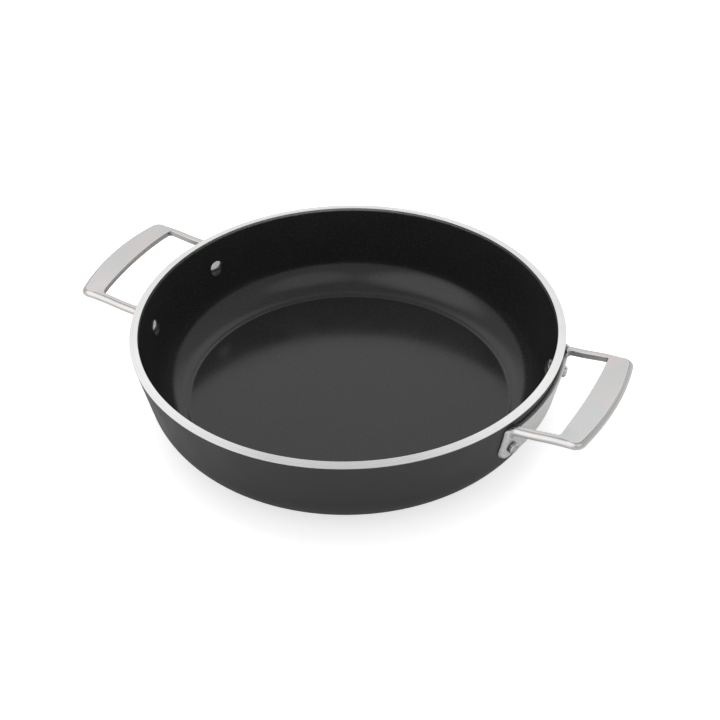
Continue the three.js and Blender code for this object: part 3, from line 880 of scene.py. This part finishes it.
def handle_finish():
    """Cast stainless: satin with hairlines along the loop and a blasted plate. Edges are brighter from a
    painted highlight on the loop and from wear on the plate, and painted shade darkens the line by the bevel
    and the loop's inner sides.
    """
    material, tree, shader, position = new_finish("satin_steel", Metallic=1.0)
    edge, plate = mark(tree, "edge"), mark(tree, "plate")
    cool, warm = (0.59, 0.597, 0.597, 1.0), (0.65, 0.605, 0.59, 1.0)
    pitted, sparkling = (0.6, 0.6, 0.6, 1.0), (0.86, 0.86, 0.855, 1.0)
    worn_and_highlight, painted_shade_colour = (0.7, 0.695, 0.69, 1.0), (0.16, 0.156, 0.152, 1.0)
    steel = worked_steel(tree, position, 1300.0)
    satin = blend_colour(tree, toned(tree, steel["Cloud"], 0.0, 1.0, CLOUD_REACH), cool, warm)
    grit = toned(tree, steel["Pits"], 0.0, 1.0, CLOUD_REACH)
    colour = blend_colour(tree, plate, satin, blend_colour(tree, grit, pitted, sparkling))
    # Painted highlight on the loop's edges and wear on the plate's edges, both also a little smoother
    wear_and_highlight = maths(tree, "MULTIPLY", edge, toned(tree, steel["Hairlines"], 0.35, 0.8))
    colour = blend_colour(tree, wear_and_highlight, colour, worn_and_highlight)
    # Painted shade where the fifth mark lies: the line by the bevel and the loop's inner sides
    fill(tree, shader.inputs["Base Color"], blend_colour(tree, mark(tree, "painted_shade"), colour, painted_shade_colour))
    satin_rough = toned(tree, steel["Hairlines"], 0.22, 0.28)
    rough = maths(tree, "MULTIPLY_ADD", plate, 0.2, satin_rough)
    fill(tree, shader.inputs["Roughness"], maths(tree, "MULTIPLY_ADD", wear_and_highlight, -0.1, rough))
    hair = maths(tree, "MULTIPLY", steel["Hairlines"], maths(tree, "SUBTRACT", 1.0, plate))
    height = maths(tree, "MULTIPLY_ADD", maths(tree, "MULTIPLY", steel["Pits"], 2.5), plate, hair)
    raised(tree, shader, height, 0.1, 0.0001)
    return material


def rivet_finish():
    """Polished solid rivet with faint pits."""
    material, tree, shader, position = new_finish("polished_steel", Metallic=1.0)
    dull, bright = (0.58, 0.58, 0.58, 1.0), (0.66, 0.655, 0.65, 1.0)
    painted_shade_colour = (0.1, 0.097, 0.094, 1.0)
    steel = worked_steel(tree, position, 1800.0)
    colour = blend_colour(tree, toned(tree, steel["Cloud"], 0.0, 1.0, CLOUD_REACH), dull, bright)
    # Painted shade round the tail's base and on the struck end
    fill(tree, shader.inputs["Base Color"], blend_colour(tree, mark(tree, "painted_shade"), colour, painted_shade_colour))
    fill(tree, shader.inputs["Roughness"], toned(tree, steel["Pits"], 0.12, 0.24))
    raised(tree, shader, steel["Pits"], 0.12, 0.00008)
    return material


# The pan
core, lining = turned(vessel_profile()), turned(lining_profile())
coat, disc = turned(coat_profile(), ring=True), turned(disc_profile())
add_piece("vessel_core_with_turned_rim", [core], rim_finish(), ["vessel_body"])
add_piece("nonstick_cooking_surface", [lining], nonstick_finish(), ["nonstick_lining"])
add_piece("outer_wall_coat", [coat], coat_finish(), ["outer_coating"])
add_piece("base_disc_grooved", [disc], base_finish(), ["induction_base_disc"])

steel_finish = handle_finish()
HALF_TURN = np.array([-1.0, -1.0, 1.0])
shells = [loop_shell(), plate_shell()]
add_piece("handle_casting_right", shells, steel_finish, ["handle_right"])
turned_round = [(points * HALF_TURN, quads, marks) for points, quads, marks in shells]
add_piece("handle_casting_left", turned_round, steel_finish, ["handle_left"])

bright_rivet = rivet_finish()
rivet_line, rivet_painted_shade = rivet_profile()
for name, side, y in (
    ("rivet_right_front", 1.0, -RIVET_Y),
    ("rivet_right_rear", 1.0, RIVET_Y),
    ("rivet_left_front", -1.0, RIVET_Y),
    ("rivet_left_rear", -1.0, -RIVET_Y),
):
    shell = turned(rivet_line, place=rivet_place(side, y), painted_shade=rivet_painted_shade, steps=RIVET_STEPS)
    add_piece(name + "_domed", [shell], bright_rivet, [name])


# Ground: half its side and its drop under the pan in metres, its glow to the camera and in mirrors
GROUND_HALF = 6.0
GROUND_DROP = 0.0002
CAMERA_GLOW = 0.66
MIRROR_GLOW = 0.1

# Lights of the room that surfaces mirror: direction, cosines at its edge and where it is full, strength
ROOM_LIGHTS = (
    ((-0.42, 0.75, 0.51), 0.68, 0.87, 0.33),
    ((-0.6, 0.4, 0.69), 0.955, 0.99, 0.2),
    ((-0.02, 0.66, 0.75), 0.955, 0.99, 0.2),
    ((-0.37, -0.62, 0.69), 0.8, 0.95, 0.85),
    ((0.55, -0.36, 0.75), 0.9, 0.98, 0.45),
)
ROOM_LEVEL = 0.63
CEILING_DIMMER = 0.22
HORIZON_LEVEL = 0.95
PLAIN_LEVEL = 0.66
LAMP_WATTS = 12.0


# Stage, light and camera
def smooth_value(tree, value, low, high):
    kind = {"interpolation_type": "SMOOTHSTEP"}
    return node(tree, "ShaderNodeMapRange", kind, Value=value, From_Min=low, From_Max=high).outputs[0]


def white_floor():
    """Pale floor under the pan that takes its shadow. It glows a little for the camera, and less for
    reflections, so that it reads as the white ground."""
    material = bpy.data.materials.new("white_ground")
    material.use_nodes = True
    tree = material.node_tree
    tree.nodes.remove(tree.nodes["Principled BSDF"])
    diffuse = node(tree, "ShaderNodeBsdfDiffuse", None, Color=(0.76, 0.76, 0.76, 1.0))
    glow = node(tree, "ShaderNodeEmission", None, Color=(1.0, 1.0, 1.0, 1.0))
    path = tree.nodes.new("ShaderNodeLightPath")
    mirrored = maths(tree, "MAXIMUM", path.outputs["Is Glossy Ray"], path.outputs["Is Transmission Ray"])
    mirror_glow = maths(tree, "MULTIPLY", mirrored, MIRROR_GLOW)
    glowing = maths(tree, "MULTIPLY_ADD", path.outputs["Is Camera Ray"], CAMERA_GLOW, mirror_glow)
    fill(tree, glow.inputs["Strength"], glowing)
    both = tree.nodes.new("ShaderNodeAddShader")
    tree.links.new(diffuse.outputs[0], both.inputs[0])
    tree.links.new(glow.outputs[0], both.inputs[1])
    tree.links.new(both.outputs[0], tree.nodes["Material Output"].inputs["Surface"])
    mesh = bpy.data.meshes.new("ground")
    corners = [(-1.0, -1.0), (1.0, -1.0), (1.0, 1.0), (-1.0, 1.0)]
    places = [(x * GROUND_HALF, y * GROUND_HALF, -GROUND_DROP) for x, y in corners]
    mesh.from_pydata(places, [], [(0, 1, 2, 3)])
    mesh.materials.append(material)
    floor = bpy.data.objects.new("ground", mesh)
    bpy.context.scene.collection.objects.link(floor)


def studio_light():
    """Studio room that is white to the camera and an even pale light to the surfaces. To reflections it
    is a pale room with a bright horizon, a bright wall and a softbox at each side behind the pan, two
    soft lights in front and a dimmer ceiling. One large soft lamp overhead adds to it."""
    world = bpy.data.worlds.new("white_room")
    bpy.context.scene.world = world
    world.use_nodes = True
    tree = world.node_tree
    room = tree.nodes["Background"]
    room.inputs["Color"].default_value = (1.0, 1.0, 1.0, 1.0)
    direction = node(tree, "ShaderNodeTexCoord").outputs["Generated"]
    up = node(tree, "ShaderNodeSeparateXYZ", None, Vector=direction).outputs[2]
    ceiling = smooth_value(tree, up, 0.8, 0.99)
    pale = maths(tree, "MULTIPLY_ADD", ceiling, -CEILING_DIMMER, ROOM_LEVEL)
    for towards, low, high, level in ROOM_LIGHTS:
        facing = node(tree, "ShaderNodeVectorMath", {"operation": "DOT_PRODUCT"})
        fill(tree, facing.inputs[0], direction)
        fill(tree, facing.inputs[1], towards)
        spot = smooth_value(tree, facing.outputs["Value"], low, high)
        pale = maths(tree, "MULTIPLY_ADD", spot, level, pale)
    horizon = smooth_value(tree, up, 0.3, 0.04)
    pale = maths(tree, "MAXIMUM", pale, maths(tree, "MULTIPLY", horizon, HORIZON_LEVEL))
    path = tree.nodes.new("ShaderNodeLightPath")
    glossy = path.outputs["Is Glossy Ray"]
    seen = maths(tree, "MAXIMUM", path.outputs["Is Camera Ray"], path.outputs["Is Transmission Ray"])
    plain = maths(tree, "MULTIPLY", maths(tree, "SUBTRACT", 1.0, glossy), PLAIN_LEVEL)
    lit = maths(tree, "MULTIPLY_ADD", glossy, pale, plain)
    fill(tree, room.inputs["Strength"], maths(tree, "MAXIMUM", seen, lit))
    lamp_data = bpy.data.lights.new("overhead_softbox", "AREA")
    lamp_data.shape = "RECTANGLE"
    lamp_data.size, lamp_data.size_y = 1.6, 1.2
    lamp_data.energy = LAMP_WATTS
    lamp = bpy.data.objects.new("overhead_softbox", lamp_data)
    lamp.matrix_world = Matrix.Translation((-0.3, 0.25, 1.5)) @ Matrix.Rotation(math.radians(-12.0), 4, "X")
    lamp.visible_glossy = False
    bpy.context.scene.collection.objects.link(lamp)


def photo_camera():
    """Camera at the photograph's distance and angle, turned a little about its own axis."""
    azimuth, elevation, roll = math.radians(28.109), math.radians(38.203), math.radians(-1.072)
    distance = 986.37 * MM
    aim = np.array([26.83, -33.84, POT_HEIGHT]) * MM
    back = np.array([
        math.sin(azimuth) * math.cos(elevation),
        -math.cos(azimuth) * math.cos(elevation),
        math.sin(elevation),
    ])
    side = np.array([math.cos(azimuth), math.sin(azimuth), 0.0])
    rise = np.cross(side, -back)
    turned_side = math.cos(roll) * side + math.sin(roll) * rise
    turned_rise = math.cos(roll) * rise - math.sin(roll) * side
    place = np.eye(4)
    place[:3, :4] = np.stack([turned_side, turned_rise, back, aim + distance * back], 1)
    data = bpy.data.cameras.new("photo_camera")
    data.sensor_width = 36.0
    data.lens = 76.277
    data.clip_start, data.clip_end = 0.05, 50.0
    camera = bpy.data.objects.new("photo_camera", data)
    camera.matrix_world = Matrix(place.tolist())
    bpy.context.scene.collection.objects.link(camera)
    bpy.context.scene.camera = camera


white_floor()
studio_light()
photo_camera()
bpy.context.scene.view_settings.view_transform = "Standard"
